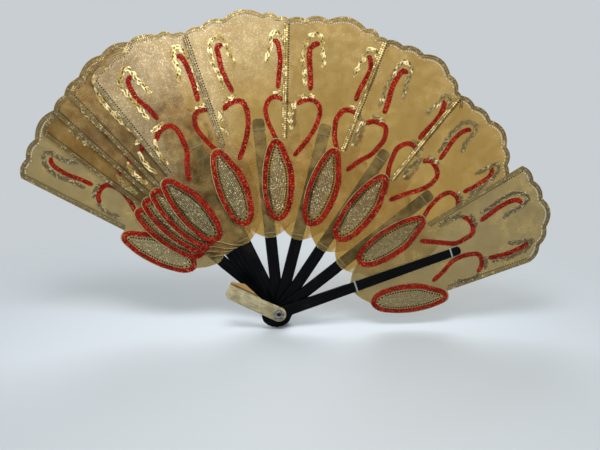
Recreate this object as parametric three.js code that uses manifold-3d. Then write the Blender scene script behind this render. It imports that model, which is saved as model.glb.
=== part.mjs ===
// A hand fan of stiff hide leaves, each tied to its own stick, all turning on one hollow eyelet.
// Millimetres. The fan stands open and upright: X to the viewer's right, Y away from the viewer, Z up.
// The origin is on the pivot axis, in the plane of the rear guard's back face.
//
// Flat pieces are drawn in their own plane: u runs along the stick away from the pivot, v runs to its left.
// Their thickness is counted forwards, towards the viewer, from the back of their layer.
import * as THREE from "three";
import { mergeVertices } from "three/addons/utils/BufferGeometryUtils.js";
import Module from "manifold-3d";

// Direction of each leaf, in degrees from +X towards +Z, from the rearmost to the frontmost
const LEAF_ANGLES = [138.5, 128.7, 124.2, 119.8, 114.6, 95.3, 76.0, 57.1, 38.7, 19.3];

// Sticks
const STICK_REACH = 156;
const STICK_TAIL = 14;
const STICK_WIDTH = 9.3;
const STICK_TIP_ROUND = 3.2;
const STICK_TAIL_ROUND = 4.1;
const EDGE_LEFT = 0.2;
const RIB_UNDER_GROOVE = 0.4;
const SHOULDER_RAMP = 3;
const SHOULDER_TO_LEAF = 1.2;
const RUNNING_GAP = 0.2;

// Front guard, the stout stick that lies in front of its leaf
const GUARD_ROOT_WIDTH = 9.8;
const GUARD_TIP_WIDTH = 7.0;
const GUARD_RIB_THICKNESS = 1.1;

// Hide leaves
const LEAF_THICKNESS = 0.4;
const LEAF_FOOT = 62.4;
const FOOT_HALF_WIDTH = 2.2;
const FOOT_DEPTH = 10.4;
const FOOT_SHOULDER = 17.5;
const FOOT_SWELL = 1.6;
const EAR_LENGTH = 57.7;
const EAR_SPREAD = 39.6;
const EAR_ROOT_PULL = new THREE.Vector2(5.2, 17.5);
const EAR_TIP_PULL = new THREE.Vector2(-20, 3);
const EAR_END_PULL = new THREE.Vector2(7.7, -0.9);
const EAR_NOTCH = new THREE.Vector2(6.1, -9);

// How far the leaves reach, and what each adds to that: cut by hand, they differ by a few millimetres
const LEAF_REACH = 234;
const REACH_DIFFERENCES = [2, 3, 6.5, 6, 3, 0, 0, 1, -4, 1.5];

// Outer edge of a leaf: notches between scallops, given by how far they lie inside the reach
const INNER_NOTCH_DROP = 5;
const INNER_NOTCH_SIDE = 17.5;
const OUTER_NOTCH_DROP = 8.7;
const OUTER_NOTCH_SIDE = 34;
const CORNER_DROP = 14.5;
const CORNER_SIDE = 48.7;
const SCALLOP_RISE = 2.4;

// The right half of a leaf, which the next leaf covers, is cut narrower than its left half
const COVERED_WIDTH_SHARE = 0.66;
const COVERED_DROP_SHARE = 0.8;

// Some leaves slope down to the right: 0 is a level covered half, 1 is the frontmost leaf's free side
const RIGHT_SLOPES = [0, 0, 0, 0, 0.25, 0, 0, 0.58, 0.75, 1];
const FREE_INNER_NOTCH_DROP = 7.6;
const FREE_INNER_NOTCH_SIDE = -6.4;
const FREE_OUTER_NOTCH_DROP = 16.4;
const FREE_OUTER_NOTCH_SIDE = -19.4;
const FREE_CORNER_DROP = 28;
const FREE_CORNER_SIDE = -30.6;

// Thread ties
const TIE_FROM_FOOT = 4.1;
const TIE_FROM_TIP = 8;
const TIE_BAND = 1.2;
const THREAD = 0.25;
const TIE_SLACK = 0.05;
const TIE_CLEARANCE = 0.15;

// Room between the layers
const SEAT_GAP = 0.1;
const LAYER_GAP = 0.1;

// Eyelet and washer
const BARREL_RADIUS = 2.2;
const BARREL_WALL = 0.6;
const PIVOT_CLEARANCE = 0.1;
const WASHER_WIDTH = 2.5;
const WASHER_THICKNESS = 0.5;
const REAR_FLANGE_WIDTH = 1.5;
const REAR_FLANGE_THICKNESS = 0.4;
const FLARE_WIDTH = 2.6;
const FLARE_THICKNESS = 0.35;
const FLARE_PETALS = 8;
const PETAL_NOTCH = 0.7;
const LIP_WIDTH = 1;
const LIP_HEIGHT = 0.4;
const LIP_EASE = 0.3;
const EYELET_GAP = 0.1;

// Thumb tab, lying on the front guard; its ledge is on the side towards the sticks
const TAB_ANGLE = 152;
const TAB_REACH = 46.3;
const TAB_THICKNESS = 1.7;
const TAB_HEAD_RADIUS = 6;
const TAB_PLAIN_SIDE = 6.6;
const TAB_LEDGE_SIDE = -4.6;
const TAB_WAIST_FROM_END = 18.3;
const TAB_END_PLAIN_SIDE = 3.7;
const TAB_END_LEDGE_SIDE = -7.6;
const TAB_END_CUT = 3.2;
const TAB_LEDGE_LENGTH = 29.3;
const TAB_LEDGE_PEAK_FROM_END = 10.3;
const TAB_LEDGE_PEAK_SIDE = -10.6;
const TAB_LEDGE_THICKNESS = 0.9;
const TAB_GAP = 0.15;

// What follows from the sizes above
const LEAF_COUNT = LEAF_ANGLES.length;
const TIES = [LEAF_FOOT + TIE_FROM_FOOT, STICK_REACH - TIE_FROM_TIP];
const TIE_NAMES = ["lower_tie", "upper_tie"];
const GROOVE_DEPTH = TIE_SLACK + THREAD + TIE_SLACK;
const GROOVE_HALF = TIE_BAND / 2 + TIE_CLEARANCE;
const RELIEF_ROOM = TIE_SLACK + THREAD + LAYER_GAP;
const RIB_THICKNESS = GROOVE_DEPTH + RIB_UNDER_GROOVE;
const LEAF_BACK = RIB_THICKNESS + SEAT_GAP;
const PITCH = LEAF_BACK + LEAF_THICKNESS + RELIEF_ROOM;
const SHANK_THICKNESS = PITCH - RUNNING_GAP;
const SHOULDER_END = LEAF_FOOT - SHOULDER_TO_LEAF;
const SHOULDER_START = SHOULDER_END - SHOULDER_RAMP;
const GUARD_LEAF_BACK = RELIEF_ROOM;
const GUARD_RIB_BACK = GUARD_LEAF_BACK + LEAF_THICKNESS + SEAT_GAP;
const GUARD_FRONT = GUARD_RIB_BACK + GUARD_RIB_THICKNESS;
const FRONT_LAYER = (LEAF_COUNT - 1) * PITCH;
const TAB_BACK = FRONT_LAYER + GUARD_FRONT + TAB_GAP;
const EYELET_FRONT = TAB_BACK + TAB_THICKNESS + EYELET_GAP;
const PIVOT_HOLE = BARREL_RADIUS + PIVOT_CLEARANCE;
const BARREL_BORE = BARREL_RADIUS - BARREL_WALL;

const ROUND_STEPS = 28;
const CURVE_STEPS = 6;
const EAR_STEPS = 14;

const wasm = await Module();
wasm.setup();

const horn = new THREE.MeshStandardMaterial({ color: 0x0c0f14, roughness: 0.42, metalness: 0 });
const hide = new THREE.MeshStandardMaterial({
  color: 0xb08c4a,
  roughness: 0.5,
  metalness: 0.1,
  transparent: true,
  opacity: 0.8,
});
const thread = new THREE.MeshStandardMaterial({ color: 0xb9bcbb, roughness: 0.8, metalness: 0 });
const metal = new THREE.MeshStandardMaterial({ color: 0x95918f, roughness: 0.35, metalness: 0.9 });
const bareHide = new THREE.MeshStandardMaterial({ color: 0xcdbf93, roughness: 0.6, metalness: 0 });

const point = (u, v) => new THREE.Vector2(u, v);
const mirrored = (p) => point(p.x, -p.y);

// A closed geometry as a solid that can be joined and cut
function solid(geometry) {
  const bare = geometry.clone();
  bare.deleteAttribute("normal");
  bare.deleteAttribute("uv");
  const merged = mergeVertices(bare);
  return new wasm.Manifold(
    new wasm.Mesh({
      numProp: 3,
      vertProperties: new Float32Array(merged.attributes.position.array),
      triVerts: new Uint32Array(merged.index.array),
    }),
  );
}

function geometryOf(made) {
  const mesh = made.getMesh();
  const geometry = new THREE.BufferGeometry();
  geometry.setAttribute("position", new THREE.BufferAttribute(mesh.vertProperties, 3));
  geometry.setIndex(new THREE.BufferAttribute(mesh.triVerts, 1));
  geometry.computeVertexNormals();
  return geometry;
}

// A flat plate: the outline in (u, v), thickened forwards from back to front
function plate(shape, back, front) {
  const geometry = new THREE.ExtrudeGeometry(shape, {
    depth: front - back,
    bevelEnabled: false,
    curveSegments: CURVE_STEPS,
  });
  geometry.rotateX(Math.PI / 2);
  geometry.translate(0, -back, 0);
  return geometry;
}

// A bar whose side view is given as (u, forwards) points, spread across v by a half width
function sideBar(points, halfWidth) {
  const shape = new THREE.Shape(points.map(([u, forwards]) => point(u, -forwards)));
  const geometry = new THREE.ExtrudeGeometry(shape, { depth: 2 * halfWidth, bevelEnabled: false });
  geometry.translate(0, 0, -halfWidth);
  return geometry;
}

function roundHole(radius) {
  const hole = new THREE.Path();
  hole.setFromPoints(new THREE.EllipseCurve(0, 0, radius, radius).getPoints(ROUND_STEPS).slice(0, -1));
  return hole;
}

// A corner's radius, limited so that some straight edge is left on the wall that it eases
const easedRadius = (radius, halfWall) => Math.min(radius, halfWall - EDGE_LEFT);

// Half the stick's width at a reach u, for a stick that tapers evenly from the pivot to the tip's rounding
function halfWidthAt(u, root, tip) {
  const taperEnd = STICK_REACH - easedRadius(STICK_TIP_ROUND, tip / 2);
  return (root + ((tip - root) * u) / taperEnd) / 2;
}

// Stick outline: square tail with eased corners, even taper, rounded tip, hole for the eyelet
function stickShape(root, tip) {
  const tail = root / 2;
  const end = tip / 2;
  const tailRound = easedRadius(STICK_TAIL_ROUND, tail);
  const tipRound = easedRadius(STICK_TIP_ROUND, end);
  const shape = new THREE.Shape();
  shape.moveTo(-STICK_TAIL, -tail + tailRound);
  shape.quadraticCurveTo(-STICK_TAIL, -tail, -STICK_TAIL + tailRound, -tail);
  shape.lineTo(0, -tail);
  shape.lineTo(STICK_REACH - tipRound, -end);
  shape.quadraticCurveTo(STICK_REACH, -end, STICK_REACH, -end + tipRound);
  shape.lineTo(STICK_REACH, end - tipRound);
  shape.quadraticCurveTo(STICK_REACH, end, STICK_REACH - tipRound, end);
  shape.lineTo(0, tail);
  shape.lineTo(-STICK_TAIL + tailRound, tail);
  shape.quadraticCurveTo(-STICK_TAIL, tail, -STICK_TAIL, tail - tailRound);
  shape.holes.push(roundHole(PIVOT_HOLE));
  return shape;
}

// A stick is its outline cut to its side view, which has the thick shank and the thin rib
function stickGeometry(root, tip, sideView, thickness) {
  const outline = solid(plate(stickShape(root, tip), 0, thickness));
  return geometryOf(outline.intersect(solid(sideBar(sideView, Math.max(root, tip)))));
}

// Side view of a leaf stick: the rib is thinned at the front, where the leaf lies, and its back is
// grooved under each tie so that the thread stays clear of the leaf behind
function leafStickSideView() {
  const past = STICK_REACH + STICK_TAIL;
  const grooves = TIES.flatMap((tie) => [
    [tie - GROOVE_HALF, 0],
    [tie - GROOVE_HALF, GROOVE_DEPTH],
    [tie + GROOVE_HALF, GROOVE_DEPTH],
    [tie + GROOVE_HALF, 0],
  ]);
  return [
    [-past, 0],
    ...grooves,
    [past, 0],
    [past, RIB_THICKNESS],
    [SHOULDER_END, RIB_THICKNESS],
    [SHOULDER_START, SHANK_THICKNESS],
    [-past, SHANK_THICKNESS],
  ];
}

// Side view of the front guard: its rib is thinned at the back, where its leaf lies
function guardSideView() {
  const past = STICK_REACH + STICK_TAIL;
  return [
    [-past, 0],
    [SHOULDER_START, 0],
    [SHOULDER_END, GUARD_RIB_BACK],
    [past, GUARD_RIB_BACK],
    [past, GUARD_FRONT],
    [-past, GUARD_FRONT],
  ];
}

// One scallop from one notch to the next, bulging outwards by rise
function scallop(from, to, rise) {
  const middle = from.clone().add(to).multiplyScalar(0.5);
  const across = to.clone().sub(from).normalize();
  const outwards = point(across.y, -across.x);
  if (outwards.x < 0) outwards.negate();
  const control = middle.addScaledVector(outwards, 2 * rise);
  return new THREE.QuadraticBezierCurve(from, control, to).getPoints(CURVE_STEPS).slice(0, -1);
}

// Left side of a leaf from its foot to the notch above its ear
function leafSide() {
  const shoulder = point(LEAF_FOOT + FOOT_DEPTH, FOOT_SHOULDER);
  const foot = point(LEAF_FOOT, FOOT_HALF_WIDTH);
  const swell = foot.clone().add(shoulder).multiplyScalar(0.5).add(point(-FOOT_SWELL, FOOT_SWELL));
  const footEdge = new THREE.QuadraticBezierCurve(foot, swell, shoulder);
  const earTip = point(shoulder.x + EAR_LENGTH, EAR_SPREAD);
  const ear = new THREE.CubicBezierCurve(
    shoulder,
    shoulder.clone().add(EAR_ROOT_PULL),
    earTip.clone().add(EAR_TIP_PULL),
    earTip,
  );
  const earEnd = new THREE.QuadraticBezierCurve(
    earTip,
    earTip.clone().add(EAR_END_PULL),
    earTip.clone().add(EAR_NOTCH),
  );
  return [
    ...footEdge.getPoints(CURVE_STEPS).slice(0, -1),
    ...ear.getPoints(EAR_STEPS).slice(0, -1),
    ...earEnd.getPoints(CURVE_STEPS),
  ];
}

// Notches of half an outer edge, from the middle to the corner
const evenHalf = (reach) => [
  point(reach - INNER_NOTCH_DROP, INNER_NOTCH_SIDE),
  point(reach - OUTER_NOTCH_DROP, OUTER_NOTCH_SIDE),
  point(reach - CORNER_DROP, CORNER_SIDE),
];
const coveredHalf = (reach) =>
  evenHalf(reach).map((notch) => {
    const drop = (reach - notch.x) * COVERED_DROP_SHARE;
    return point(reach - drop, -notch.y * COVERED_WIDTH_SHARE);
  });
const freeHalf = (reach) => [
  point(reach - FREE_INNER_NOTCH_DROP, FREE_INNER_NOTCH_SIDE),
  point(reach - FREE_OUTER_NOTCH_DROP, FREE_OUTER_NOTCH_SIDE),
  point(reach - FREE_CORNER_DROP, FREE_CORNER_SIDE),
];

// Leaf outline: its left half is even and its right half slopes; the middle scallop rises to the reach
function leafShape(reach, slope) {
  const left = leafSide();
  const leftHalf = evenHalf(reach);
  const free = freeHalf(reach);
  const rightHalf = coveredHalf(reach).map((notch, index) => notch.lerp(free[index], slope));
  const notches = [...leftHalf.toReversed(), ...rightHalf];
  const outerEdge = notches.slice(1).flatMap((notch, index) => {
    const rise = index === leftHalf.length - 1 ? INNER_NOTCH_DROP : SCALLOP_RISE;
    return scallop(notches[index], notch, rise);
  });
  const clockwise = [...left, ...outerEdge, notches.at(-1), ...left.map(mirrored).reverse()];
  return new THREE.Shape(clockwise.reverse());
}

// A leaf cut by the two slits beside the stick that each tie passes through
function leafGeometry(shape, back, halfWidths) {
  const front = back + LEAF_THICKNESS;
  const slitWidth = 2 * TIE_CLEARANCE + THREAD;
  let cut = solid(plate(shape, back, front));
  TIES.forEach((tie, end) => {
    [1, -1].forEach((side) => {
      const slit = new THREE.BoxGeometry(2 * GROOVE_HALF, 3 * LEAF_THICKNESS, slitWidth);
      slit.translate(tie, -(back + front) / 2, side * (halfWidths[end] + slitWidth / 2));
      cut = cut.subtract(solid(slit));
    });
  });
  return geometryOf(cut);
}

// A tie is a flat band of thread round the stick and the leaf together, seen here along the stick
function tieGeometry(tie, halfWidth, back, front) {
  const inner = halfWidth + TIE_CLEARANCE;
  const outer = inner + THREAD;
  const ring = (half, from, to) => [
    point(-half, -to),
    point(half, -to),
    point(half, -from),
    point(-half, -from),
  ];
  const shape = new THREE.Shape(ring(outer, back - THREAD, front + THREAD));
  shape.holes.push(new THREE.Path().setFromPoints(ring(inner, back, front)));
  const geometry = new THREE.ExtrudeGeometry(shape, { depth: TIE_BAND, bevelEnabled: false });
  geometry.rotateY(Math.PI / 2);
  geometry.translate(tie - TIE_BAND / 2, 0, 0);
  return geometry;
}

// Thumb tab: a round head on the pivot, a long flat body and a thinner ledge along one side
function tabGeometry() {
  const body = new THREE.Shape();
  body.moveTo(0, -TAB_HEAD_RADIUS);
  body.lineTo(TAB_REACH - TAB_WAIST_FROM_END, TAB_LEDGE_SIDE);
  body.quadraticCurveTo(
    TAB_REACH - TAB_WAIST_FROM_END / 2,
    TAB_LEDGE_SIDE,
    TAB_REACH,
    TAB_END_LEDGE_SIDE,
  );
  body.lineTo(TAB_REACH, TAB_END_PLAIN_SIDE);
  body.lineTo(TAB_REACH - TAB_END_CUT, TAB_PLAIN_SIDE);
  body.lineTo(0, TAB_HEAD_RADIUS);
  body.absarc(0, 0, TAB_HEAD_RADIUS, Math.PI / 2, 1.5 * Math.PI, false);
  body.holes.push(roundHole(PIVOT_HOLE));
  const ledge = new THREE.Shape([
    point(TAB_REACH - TAB_LEDGE_LENGTH, 0),
    point(TAB_REACH - TAB_LEDGE_LENGTH, TAB_LEDGE_SIDE),
    point(TAB_REACH - TAB_LEDGE_PEAK_FROM_END, TAB_LEDGE_PEAK_SIDE),
    point(TAB_REACH, TAB_END_LEDGE_SIDE),
    point(TAB_REACH, 0),
  ]);
  const thick = solid(plate(body, 0, TAB_THICKNESS));
  return geometryOf(thick.add(solid(plate(ledge, 0, TAB_LEDGE_THICKNESS))));
}

// Petals of the eyelet's front flare, split where the metal was turned over
function petalShape() {
  const steps = FLARE_PETALS * CURVE_STEPS;
  const rim = Array.from({ length: steps }, (_, step) => {
    const turn = (2 * Math.PI * step) / steps;
    const depth = PETAL_NOTCH * (1 - Math.abs(Math.cos((FLARE_PETALS * turn) / 2)));
    const radius = BARREL_RADIUS + FLARE_WIDTH - depth;
    return point(radius * Math.cos(turn), radius * Math.sin(turn));
  });
  const shape = new THREE.Shape(rim);
  shape.holes.push(roundHole((BARREL_BORE + BARREL_RADIUS) / 2));
  return shape;
}

// Eyelet: one turned tube with a rear flange and a rolled front lip, and the petals behind that lip
function eyeletGeometry() {
  const rearSeat = 2 * EYELET_GAP + WASHER_THICKNESS;
  const rearEnd = rearSeat + REAR_FLANGE_THICKNESS;
  const lipEnd = -(EYELET_FRONT + FLARE_THICKNESS + LIP_HEIGHT);
  const lipRadius = BARREL_RADIUS + LIP_WIDTH;
  const flangeRadius = BARREL_RADIUS + REAR_FLANGE_WIDTH;
  const profile = [
    point(BARREL_BORE, lipEnd + LIP_EASE),
    point(BARREL_BORE + LIP_EASE, lipEnd),
    point(lipRadius - LIP_EASE, lipEnd),
    point(lipRadius, lipEnd + LIP_EASE),
    point(lipRadius, -EYELET_FRONT),
    point(BARREL_RADIUS, -EYELET_FRONT),
    point(BARREL_RADIUS, rearSeat),
    point(flangeRadius, rearSeat),
    point(flangeRadius, rearEnd),
    point(BARREL_BORE, rearEnd),
    point(BARREL_BORE, lipEnd + LIP_EASE),
  ];
  const tube = solid(new THREE.LatheGeometry(profile, ROUND_STEPS));
  const petals = plate(petalShape(), EYELET_FRONT, EYELET_FRONT + FLARE_THICKNESS);
  return geometryOf(tube.add(solid(petals)));
}

function washerGeometry() {
  const shape = new THREE.Shape();
  shape.absarc(0, 0, PIVOT_HOLE + WASHER_WIDTH, 0, 2 * Math.PI, false);
  shape.holes.push(roundHole(PIVOT_HOLE));
  const geometry = new THREE.ExtrudeGeometry(shape, {
    depth: WASHER_THICKNESS,
    bevelEnabled: false,
    curveSegments: ROUND_STEPS,
  });
  geometry.rotateX(Math.PI / 2);
  geometry.translate(0, EYELET_GAP + WASHER_THICKNESS, 0);
  return geometry;
}

const fan = new THREE.Group();

function addMesh(parent, name, geometry, material) {
  const mesh = new THREE.Mesh(geometry, material);
  mesh.name = name;
  parent.add(mesh);
}

// A group turned to one direction about the pivot and set forwards to its layer
function turnedGroup(degrees, forwards) {
  const group = new THREE.Group();
  group.rotation.y = -THREE.MathUtils.degToRad(degrees);
  group.position.y = -forwards;
  fan.add(group);
  return group;
}

// One leaf with its stick and its two ties
function addLeaf(group, number, stick, shape, leafBack, tieBack, tieFront) {
  const stickName = { 1: "rear_guard", [LEAF_COUNT]: "front_guard" }[number] ?? `stick_${number}`;
  addMesh(group, stickName, stickGeometry(stick.root, stick.tip, stick.sideView, stick.thickness), horn);
  const halfWidths = TIES.map((tie) => halfWidthAt(tie, stick.root, stick.tip));
  addMesh(group, `leaf_${number}`, leafGeometry(shape, leafBack, halfWidths), hide);
  TIES.forEach((tie, end) => {
    const tieName = `${TIE_NAMES[end]}_${number}`;
    addMesh(group, tieName, tieGeometry(tie, halfWidths[end], tieBack, tieFront), thread);
  });
}

const leafStick = {
  root: STICK_WIDTH,
  tip: STICK_WIDTH,
  sideView: leafStickSideView(),
  thickness: SHANK_THICKNESS,
};
const guardStick = {
  root: GUARD_ROOT_WIDTH,
  tip: GUARD_TIP_WIDTH,
  sideView: guardSideView(),
  thickness: GUARD_FRONT,
};

LEAF_ANGLES.forEach((degrees, layer) => {
  const group = turnedGroup(degrees, layer * PITCH);
  const number = layer + 1;
  const shape = leafShape(LEAF_REACH + REACH_DIFFERENCES[layer], RIGHT_SLOPES[layer]);
  if (number < LEAF_COUNT) {
    const tieFront = LEAF_BACK + LEAF_THICKNESS + TIE_SLACK;
    addLeaf(group, number, leafStick, shape, LEAF_BACK, TIE_SLACK + THREAD, tieFront);
  } else {
    const tieFront = GUARD_FRONT + TIE_SLACK;
    addLeaf(group, number, guardStick, shape, GUARD_LEAF_BACK, GUARD_LEAF_BACK - TIE_SLACK, tieFront);
  }
});

addMesh(fan, "eyelet_washer", washerGeometry(), metal);
addMesh(fan, "pivot_eyelet", eyeletGeometry(), metal);
addMesh(turnedGroup(TAB_ANGLE, TAB_BACK), "thumb_tab", tabGeometry(), bareHide);

export default fan;
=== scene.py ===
import math
import random

import bmesh
import bpy
from mathutils import Matrix, Vector
from mathutils.geometry import interpolate_bezier


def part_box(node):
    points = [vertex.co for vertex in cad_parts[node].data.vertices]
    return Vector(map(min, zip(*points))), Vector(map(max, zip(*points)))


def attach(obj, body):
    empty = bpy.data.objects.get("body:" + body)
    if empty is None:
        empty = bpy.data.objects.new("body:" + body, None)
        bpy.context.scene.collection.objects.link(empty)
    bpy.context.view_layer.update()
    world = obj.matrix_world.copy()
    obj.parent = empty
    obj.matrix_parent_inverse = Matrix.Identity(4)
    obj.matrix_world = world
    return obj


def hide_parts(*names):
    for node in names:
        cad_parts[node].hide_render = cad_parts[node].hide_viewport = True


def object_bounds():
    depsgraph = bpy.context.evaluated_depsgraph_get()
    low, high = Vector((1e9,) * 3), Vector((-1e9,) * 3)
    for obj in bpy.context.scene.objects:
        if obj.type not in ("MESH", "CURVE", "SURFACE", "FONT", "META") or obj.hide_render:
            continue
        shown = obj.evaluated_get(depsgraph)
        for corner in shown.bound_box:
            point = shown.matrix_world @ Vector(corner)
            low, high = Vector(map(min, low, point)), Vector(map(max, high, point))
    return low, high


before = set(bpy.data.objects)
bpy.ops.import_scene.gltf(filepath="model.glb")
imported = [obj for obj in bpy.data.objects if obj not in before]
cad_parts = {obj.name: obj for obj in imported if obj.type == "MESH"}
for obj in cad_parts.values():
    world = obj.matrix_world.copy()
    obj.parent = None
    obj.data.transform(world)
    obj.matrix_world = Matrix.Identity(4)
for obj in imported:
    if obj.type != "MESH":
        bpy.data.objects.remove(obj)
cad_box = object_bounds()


# Horn sticks
# Ten flat sticks of black horn: thick at the pivot, thinned to a rib where a hide leaf lies on them.
# They are sawn, scraped and polished, so their edges are eased and the face keeps faint fibres.
MM = 0.001
LEAF_ANGLES = (138.5, 128.7, 124.2, 119.8, 114.6, 95.3, 76.0, 57.1, 38.7, 19.3)
LEAF_COUNT = len(LEAF_ANGLES)
LEAF_NUMBERS = range(1, LEAF_COUNT + 1)
UV_SPAN = 100 * MM
MERGE_DISTANCE = 0.002 * MM
FLAT_ANGLE = math.radians(1)
SHARP_ANGLE = math.radians(35)
STICK_EASE = 0.22 * MM
FIBRE_STRETCH = (3, 90, 1)
FIBRE_DEPTH = 0.08 * MM


def srgb(red, green, blue):
    """A colour as the eye reads it, in 0 to 255, turned into the linear values that a shader takes."""
    shares = [channel / 255 for channel in (red, green, blue)]
    linear = [s / 12.92 if s <= 0.04045 else ((s + 0.055) / 1.055) ** 2.4 for s in shares]
    return (*linear, 1.0)


HORN_BLACK = srgb(2, 3, 4)
HORN_GREY = srgb(11, 13, 16)
HORN_BROWN = srgb(22, 19, 16)


class Wire:
    """One shader value: arithmetic on it adds Math nodes."""

    def __init__(self, finish, socket):
        self.finish = finish
        self.socket = socket

    def math(self, operation, first, second=0.0):
        return self.finish.node("ShaderNodeMath", {"operation": operation}, {0: first, 1: second})

    def __add__(self, other):
        return self.math("ADD", self, other)

    def __radd__(self, other):
        return self.math("ADD", other, self)

    def __sub__(self, other):
        return self.math("SUBTRACT", self, other)

    def __rsub__(self, other):
        return self.math("SUBTRACT", other, self)

    def __mul__(self, other):
        return self.math("MULTIPLY", self, other)

    def __rmul__(self, other):
        return self.math("MULTIPLY", other, self)

    def __abs__(self):
        return self.math("ABSOLUTE", self)


class Finish:
    """The nodes of a material, or of the world, put together one by one."""

    def __init__(self, owner):
        owner.use_nodes = True
        self.owner = owner
        self.tree = owner.node_tree
        self.tree.nodes.clear()

    def node(self, kind, settings, inputs, output=0):
        """Adds a node, sets it, fills or links its inputs, and gives one of its outputs."""
        made = self.tree.nodes.new(kind)
        for name, value in settings.items():
            setattr(made, name, value)
        for name, value in inputs.items():
            if isinstance(value, Wire):
                self.tree.links.new(value.socket, made.inputs[name])
            else:
                made.inputs[name].default_value = value
        return Wire(self, made.outputs[output]) if len(made.outputs) else None

    def outputs(self, wire, names):
        """Several outputs of the node that a wire comes from."""
        return [Wire(self, wire.socket.node.outputs[name]) for name in names]

    def place(self):
        return self.node("ShaderNodeTexCoord", {}, {}, "Object")

    def drawn(self):
        """Place in the piece's own plane: along the stick and across it, in steps of UV_SPAN."""
        return self.node("ShaderNodeUVMap", {"uv_map": "drawn"}, {})

    def along_and_across(self):
        return self.outputs(self.node("ShaderNodeSeparateXYZ", {}, {"Vector": self.drawn()}), "XY")

    def stretched(self, scale):
        """The drawn place with each direction scaled by itself."""
        return self.node("ShaderNodeMapping", {}, {"Vector": self.drawn(), "Scale": scale})

    def kept(self, name):
        """A value that the mesh keeps at each of its points."""
        return self.node("ShaderNodeAttribute", {"attribute_name": name}, {}, "Fac")

    def noise(self, scale, detail=2.0, roughness=0.5, place=None):
        """Noise over the piece's place in the fan, or over another place."""
        place = place or self.place()
        sockets = {"Vector": place, "Scale": scale, "Detail": detail, "Roughness": roughness}
        return self.node("ShaderNodeTexNoise", {}, sockets)

    def between(self, value, low, high):
        """0 below low, 1 above high, with a smooth step between them."""
        sockets = {"Value": value, "From Min": low, "From Max": high}
        return self.node("ShaderNodeMapRange", {"interpolation_type": "SMOOTHSTEP"}, sockets)

    def blend(self, share, first, second):
        return self.node("ShaderNodeMix", {"data_type": "RGBA"}, {0: share, 6: first, 7: second}, 2)

    def bump(self, height, strength, depth):
        sockets = {"Height": height, "Strength": strength, "Distance": depth}
        return self.node("ShaderNodeBump", {}, sockets)

    def surface(self, **sockets):
        named = {name.replace("_", " "): value for name, value in sockets.items()}
        return self.node("ShaderNodeBsdfPrincipled", {}, named)

    def done(self, shader, end="ShaderNodeOutputMaterial"):
        self.node(end, {}, {"Surface": shader})
        return self.owner

    def coated(self, **sockets):
        """Ends a material that is one plain surface."""
        return self.done(self.surface(**sockets))


def horn_finish():
    """Black horn with grey fibres along the stick and brown clouds."""
    horn = Finish(bpy.data.materials.new("black_horn"))
    fibres = horn.noise(scale=1.6, detail=3, place=horn.stretched(FIBRE_STRETCH))
    clouds = horn.noise(scale=60, detail=3)
    grain = horn.noise(scale=2600)
    colour = horn.blend(horn.between(fibres, 0.35, 0.75), HORN_BLACK, HORN_GREY)
    colour = horn.blend(horn.between(clouds, 0.55, 0.8), colour, HORN_BROWN)
    return horn.coated(
        Base_Color=colour,
        Roughness=0.26 + clouds * 0.2,
        Specular_IOR_Level=0.05,
        Normal=horn.bump(fibres * 0.6 + grain * 0.4, 0.25, FIBRE_DEPTH),
    )


def turned(number):
    """How a leaf's own plane is turned about the pivot."""
    return Matrix.Rotation(-math.radians(LEAF_ANGLES[number - 1]), 4, "Y")


def draw_uv(bm, to_plane):
    """Keeps each point's place in its plane, along and across, as the piece's UV map."""
    layer = bm.loops.layers.uv.new("drawn")
    for face in bm.faces:
        for loop in face.loops:
            flat = to_plane @ loop.vert.co
            loop[layer].uv = (flat.x / UV_SPAN, flat.z / UV_SPAN)


def piece(bm, name, material, body, replaced=(), crease=30):
    """Ends a mesh as a shown piece that rides on a body and stands for the solids it replaces.
    Edges that turn by more than the crease, in degrees, stay sharp."""
    mesh = bpy.data.meshes.new(name)
    bm.to_mesh(mesh)
    bm.free()
    mesh.shade_smooth()
    mesh.set_sharp_from_angle(angle=math.radians(crease))
    mesh.materials.append(material)
    made = bpy.data.objects.new(name, mesh)
    bpy.context.scene.collection.objects.link(made)
    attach(made, body)
    if replaced:
        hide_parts(*replaced)


def eased_solid(node, ease, segments):
    """A copy of a solid with its sharp edges eased."""
    bm = bmesh.new()
    bm.from_mesh(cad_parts[node].data)
    bmesh.ops.remove_doubles(bm, verts=bm.verts, dist=MERGE_DISTANCE)
    bmesh.ops.dissolve_limit(bm, angle_limit=FLAT_ANGLE, verts=bm.verts, edges=bm.edges)
    sharp = [edge for edge in bm.edges if edge.is_manifold and edge.calc_face_angle() > SHARP_ANGLE]
    bmesh.ops.bevel(
        bm,
        geom=sharp,
        offset=ease,
        affect="EDGES",
        segments=segments,
        profile=0.5,
        material=-1,
        clamp_overlap=True,
    )
    return bm


def body_of_leaf(number):
    return "front_leaf" if number == LEAF_COUNT else f"fan_leaf_{number}"


def stick_node(number):
    return {1: "rear_guard", LEAF_COUNT: "front_guard"}.get(number, f"stick_{number}")


black_horn = horn_finish()
for number in LEAF_NUMBERS:
    node = stick_node(number)
    bm = eased_solid(node, STICK_EASE, segments=2)
    draw_uv(bm, turned(number).inverted())
    piece(bm, f"horn_stick_{number}", black_horn, body_of_leaf(number), [node])


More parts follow.
